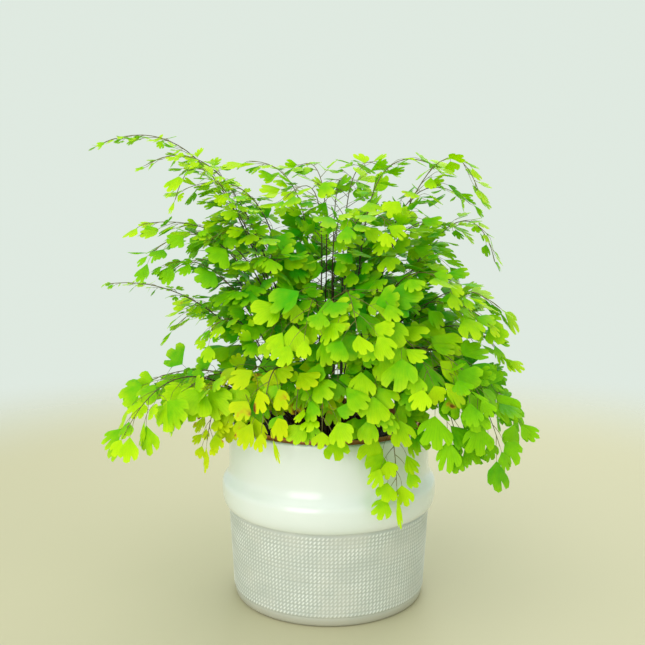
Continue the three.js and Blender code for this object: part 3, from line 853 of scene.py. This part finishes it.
class Frond:
    """One frond: its stem and stalks as lines with radii, and the leaflets still to be hung on them."""

    def __init__(self, row):
        self.name, turn, swing, lean, arch, reach, height, droop, self.bare, spread, leaflet, self.green = row
        self.hanging = droop >= HANGING_DROOP
        self.random = random.Random(self.name)
        self.route = stem_route(turn, swing, lean, arch, reach, height, droop)
        azimuth = turn + swing / 2
        self.outward = outwards(azimuth)
        self.side = outwards(azimuth + 90)
        self.spread = spread * MM
        self.leaflet = leaflet * MM
        self.seats = []  # (foot, direction, face, size, width, tender) of each leaflet
        self.stalks = []
        start = next(step for step, point in enumerate(self.route.points) if point.z > SHOWING_HEIGHT) - 1
        self.stem = []
        for step in range(start, STEM_POINTS):
            share = (step - start) / (STEM_POINTS - 1 - start)
            radius = STEM_FOOT_RADIUS + (STEM_TIP_RADIUS - STEM_FOOT_RADIUS) * share
            self.stem.append((self.route.points[step], radius))
        self.grow()

    def shaken(self, vector, most):
        """A vector with up to so much added to or taken from each of its parts."""
        return vector + Vector([self.random.uniform(-most, most) for _ in range(3)])

    def face_at(self, place, along, tilt):
        """The way a leaflet's upper face looks: up from the frond, out from the plant and to the light.

        The high leaflets lie flatter, in tiers, and the low ones turn their faces to the front.
        """
        high = min(1.0, max(0.0, (place.z - FRONT_FACING_BELOW) / (TIERED_ABOVE - FRONT_FACING_BELOW)))
        face = along.cross(self.side) * 0.5 + self.outward * 0.3 + Vector((0, 0, 0.2 + 0.32 * high))
        face += TOWARDS_WINDOW * (0.34 - 0.20 * high) * (1 - self.outward.y)
        jitter = Vector([self.random.uniform(-1, 1) for _ in range(3)])
        return (face + jitter * tilt).normalized()

    def grow(self):
        """Sets side stalks along the stem, to the left and right by turns, and a leaflet at its tip."""
        growing = self.route.length * (1 - self.bare)
        count = max(5, round(growing / PINNA_SPACING * (1.5 if self.hanging else 1)))
        hand = 1 if self.random.random() < 0.5 else -1
        for joint in range(count):
            share = joint / count
            place, along = self.route.at(self.bare + (1 - self.bare) * share)
            hand = -hand
            length = (self.spread - self.leaflet) * (1 - share) ** 0.75 + 0.4 * self.leaflet
            length *= self.random.uniform(0.8, 1.12)
            self.grow_pinna(place, along, self.side * hand, length, share, 1)
        place, along = self.route.at(1)
        size, width = (1.35, ROLLED_WIDTH) if self.hanging else (0.6, 1)
        self.seats.append((place, along, self.face_at(place, along, 0.2), size * self.leaflet, width, 1.0))

    def grow_pinna(self, place, along, across, length, share, order):
        """A side stalk, with leaflets or shorter stalks on alternate sides and a leaflet at its end."""
        angle = math.radians(PINNA_ANGLE - PINNA_CLOSING * share + self.random.uniform(-9, 9))
        out = self.shaken((along * math.cos(angle) + across * math.sin(angle)).normalized(), 0.14)
        down = Vector((0, 0, -1))
        stalk = Route(
            [
                place,
                place + out * 0.35 * length,
                place + out * 0.7 * length + down * 0.05 * length,
                place + (out + along * 0.12).normalized() * length + down * 0.16 * length,
            ],
            7 if order == 1 else 4,
        )
        tender = 0.25 + 0.6 * share
        thick = STALK_RADIUS * (1.15 - 0.3 * order)
        self.stalks.append(
            ([(point, thick * (1 - 0.09 * step)) for step, point in enumerate(stalk.points)], tender)
        )
        size = self.leaflet * LEAFLET_SHARE * (1.06 - 0.28 * share)
        count = max(1, round(length / (LEAFLET_SPACING * size)))
        hand = 1
        for seat in range(count):
            last = seat == count - 1
            reach = 1 if last else STALK_BARE + (1 - STALK_BARE) * (seat + 1) / count
            foot, stalk_along = stalk.at(reach)
            face = self.face_at(foot, along, 0.30 + 0.35 * share)
            aside = face.cross(stalk_along).normalized() * hand
            hand = -hand
            if order == 1 and length > BRANCHED_LENGTH and seat < 0.6 * count:
                self.grow_pinna(foot, stalk_along, aside, length * (0.52 - 0.24 * reach), share, 2)
                continue
            turn = 0 if last else math.radians(self.random.uniform(45, 72))
            direction = stalk_along * math.cos(turn) + aside * math.sin(turn) + down * LEAFLET_SAG
            grown = size * self.random.uniform(0.74, 1.15) * (1.1 if last else 0.95)
            width = ROLLED_WIDTH if self.random.random() < ROLLED_SHARE else self.random.uniform(0.9, 1.12)
            self.seats.append((foot, direction.normalized(), face, grown, width, tender))

    def hang(self, foliage):
        """Hangs a leaflet from each seat on a hair-fine stalk, where there is room for it."""
        leaves = []
        hairs = []
        for foot, direction, face, size, width, tender in self.seats:
            # Each further attempt is turned further from the way it grows, and is a little smaller.
            for attempt in range(ATTEMPTS):
                shake = 0.1 + 0.12 * attempt
                turned_face = self.shaken(face, shake).normalized()
                turned_out = self.shaken(direction, shake)
                ahead = turned_out - turned_face * turned_out.dot(turned_face)
                if ahead.length < 0.2:
                    continue
                ahead.normalize()
                scale = size / 1.05 * (1 - 0.06 * attempt)
                hair_length = self.random.uniform(0.16, 0.26) * size
                start = foot + (direction * 0.5 + ahead * 0.5).normalized() * hair_length
                across = ahead.cross(turned_face)
                place = Matrix.Translation(start) @ Matrix((across, ahead, turned_face)).transposed().to_4x4()
                shape = self.random.choice(leaflet_shapes)
                place = place @ Matrix.Diagonal((scale * width, scale, scale, 1))
                points = [place @ vert.co for vert in shape.vertices]
                if foliage.add_if_free(points, [polygon.vertices for polygon in shape.polygons]):
                    leaves.append((shape, place, tender))
                    middle = foot.lerp(start, 0.6)
                    tip = start + ahead * 0.08 * scale
                    line = [(foot, HAIR_RADIUS), (middle, HAIR_RADIUS), (tip, HAIR_RADIUS * 0.5)]
                    hairs.append((line, tender))
                    break
        return leaves, hairs


# ---- the frond's finishes: shiny black stems that turn green where they are young, and thin leaf

DRY_LEAF = (0.62, 0.34, 0.015)
DEAD_LEAF = (0.20, 0.060, 0.012)
LEAF_COLOURS = {
    # the blade in shade and in the light, its rim, the light through it, and how much is dry, from 0 to 1
    "fresh": ((0.030, 0.44, 0.0), (0.66, 0.90, 0.0), (0.80, 0.92, 0.018), (0.22, 0.86, 0.0), 0),
    "gold": ((0.34, 0.62, 0.0), (0.76, 0.87, 0.0), (0.90, 0.87, 0.010), (0.56, 0.82, 0.0), 1),
    # the deep green is a darker copy of the fresh one: painted shade for the fronds low, at the back, inside
    # the plant or on the right away from the window
    "deep": ((0.016, 0.32, 0.0), (0.36, 0.76, 0.0), (0.50, 0.80, 0.004), (0.14, 0.74, 0.0), 0),
}

stem_finish, paint, place = new_finish("wiry_stem")
young = paint.node("ShaderNodeAttribute", {"attribute_name": "tender"}, output=2)
streak = place.noise(900, 2)
black = streak.mix((0.012, 0.006, 0.004), (0.085, 0.032, 0.012))
stem_colour = young.between(0.3, 0.95).mix(black, (0.20, 0.19, 0.02))
show(principled(paint, {"Base Color": stem_colour, "Roughness": 0.34 + streak * 0.1}))


def leaf_finish(name, shade, bright, edge, glow, dryness):
    """Thin leaf in one of the plant's greens, mixed from its painted shade colour to its lit colour, with
    fanned veins, a paler rim and dry patches.
    """
    finish, paint, place = new_finish(name)
    leaf = paint.node("ShaderNodeUVMap", {"uv_map": "leaf"})
    angle = paint.node("ShaderNodeSeparateXYZ", (), {0: leaf}, 0)
    reach = paint.node("ShaderNodeSeparateXYZ", (), {0: leaf}, 1)
    tone = paint.node("ShaderNodeAttribute", {"attribute_name": "tone"}, output=2)
    mottle = place.noise(170, 4)
    fan = angle * 82 + mottle * 2
    vein = fan.sum("SINE", fan).between(0.4, 1.0) * reach.between(0.08, 0.4)
    # Painted shade and light: each leaflet's tone and shade takes it from the green in shade towards the
    # green in the light, darker deep in the plant and lighter at its outside, with random tone and mottle
    # besides.
    colour = (tone * 0.8 + mottle * 0.5 + reach * 0.25 - 0.2).between(0.0, 1.1).mix(shade, bright)
    colour = (reach.between(0.60, 1.02) * 0.4).mix(colour, edge)
    colour = (vein * 0.12).mix(colour, shade)
    patches = place.noise(62)
    dry = patches.between(0.72 - 0.12 * dryness, 0.78 - 0.12 * dryness) * reach.between(0.2, 0.7)
    dead = patches.between(0.77 - 0.12 * dryness, 0.80 - 0.12 * dryness) * reach.between(0.3, 0.7)
    colour = dead.mix((dry * 0.8).mix(colour, DRY_LEAF), DEAD_LEAF)
    blade = principled(
        paint,
        {
            "Base Color": colour,
            "Roughness": 0.42 + mottle * 0.14,
            "Specular IOR Level": 0.14,
            "Normal": (vein + mottle * 0.9).bump(0.0003, 0.25),
        },
    )
    through = paint.node("ShaderNodeBsdfTranslucent", (), {"Color": glow})
    show(paint.node("ShaderNodeMixShader", (), {0: 0.3 - dry * 0.2, 1: blade, 2: through}))
    return finish


leaf_finishes = {green: leaf_finish(green + "_leaf", *colours) for green, colours in LEAF_COLOURS.items()}


def add_tubes(shape, lines, resolution):
    """Adds tubes to a frond's shape, each vertex knowing how young the wood is there."""
    mesh = tubes("stalks", [line for line, _ in lines], resolution)
    young_values = []
    sides = 4 + 2 * resolution
    for line, (first, last) in lines:
        for point in range(len(line)):
            young_values += [first + (last - first) * point / (len(line) - 1)] * sides
    attribute = mesh.attributes.new("tender", "FLOAT", "POINT")
    attribute.data.foreach_set("value", young_values)
    mesh.shade_smooth()
    shape.from_mesh(mesh)
    bpy.data.meshes.remove(mesh)


def openness(place):
    """How open to the light a place in the plant is: 0 deep inside, and 1 at the outermost leaflets."""
    up = (place.z - PLANT_MIDDLE_UP) / PLANT_HALF_HEIGHT
    return min(1.0, math.hypot(place.x / PLANT_HALF_WIDTH, place.y / PLANT_HALF_DEPTH, up))


fronds = [Frond(row) for row in FRONDS]
stem_mesh = tubes("stems", [frond.stem for frond in fronds], 0)
stem_tree = BVHTree.FromPolygons(
    [vert.co.copy() for vert in stem_mesh.vertices], [polygon.vertices[:] for polygon in stem_mesh.polygons]
)
bpy.data.meshes.remove(stem_mesh)
foliage = Foliage(stem_tree)
for frond in fronds:
    leaves, hairs = frond.hang(foliage)
    shape = bmesh.new()
    shape.verts.layers.float.new("tender")
    shape.verts.layers.float.new("tone")
    shape.loops.layers.uv.new("leaf")
    add_tubes(shape, [(frond.stem, (0, 0.75))], 2)
    add_tubes(shape, [(line, (tender, tender + 0.2)) for line, tender in frond.stalks], 1)
    add_tubes(shape, [(line, (tender, tender + 0.3)) for line, tender in hairs], 0)
    bmesh.ops.holes_fill(shape, edges=[edge for edge in shape.edges if edge.is_boundary])
    bmesh.ops.recalc_face_normals(shape, faces=shape.faces)
    woody = len(shape.faces)
    for leaflet_shape, place, tender in leaves:
        leaflet = leaflet_shape.copy()
        leaflet.transform(place)
        # Painted shade: a leaflet deep inside the plant gets a lower tone and shade, so a darker green, and
        # an outer one a higher, besides its random tone and its youth.
        tone = frond.random.uniform(0, 0.6) + 0.2 * tender + 0.85 * openness(place.translation) - 0.6
        leaflet.attributes["tone"].data.foreach_set("value", [tone] * len(leaflet.vertices))
        shape.from_mesh(leaflet)
        bpy.data.meshes.remove(leaflet)
    shape.faces.ensure_lookup_table()
    for face in shape.faces[woody:]:
        face.material_index = 1
    name = "frond_" + frond.name
    add_piece(name + "_leafy", shape, [stem_finish, leaf_finishes[frond.green]], frond.green + "_frond", name)
for leaflet_shape in leaflet_shapes:
    bpy.data.meshes.remove(leaflet_shape)
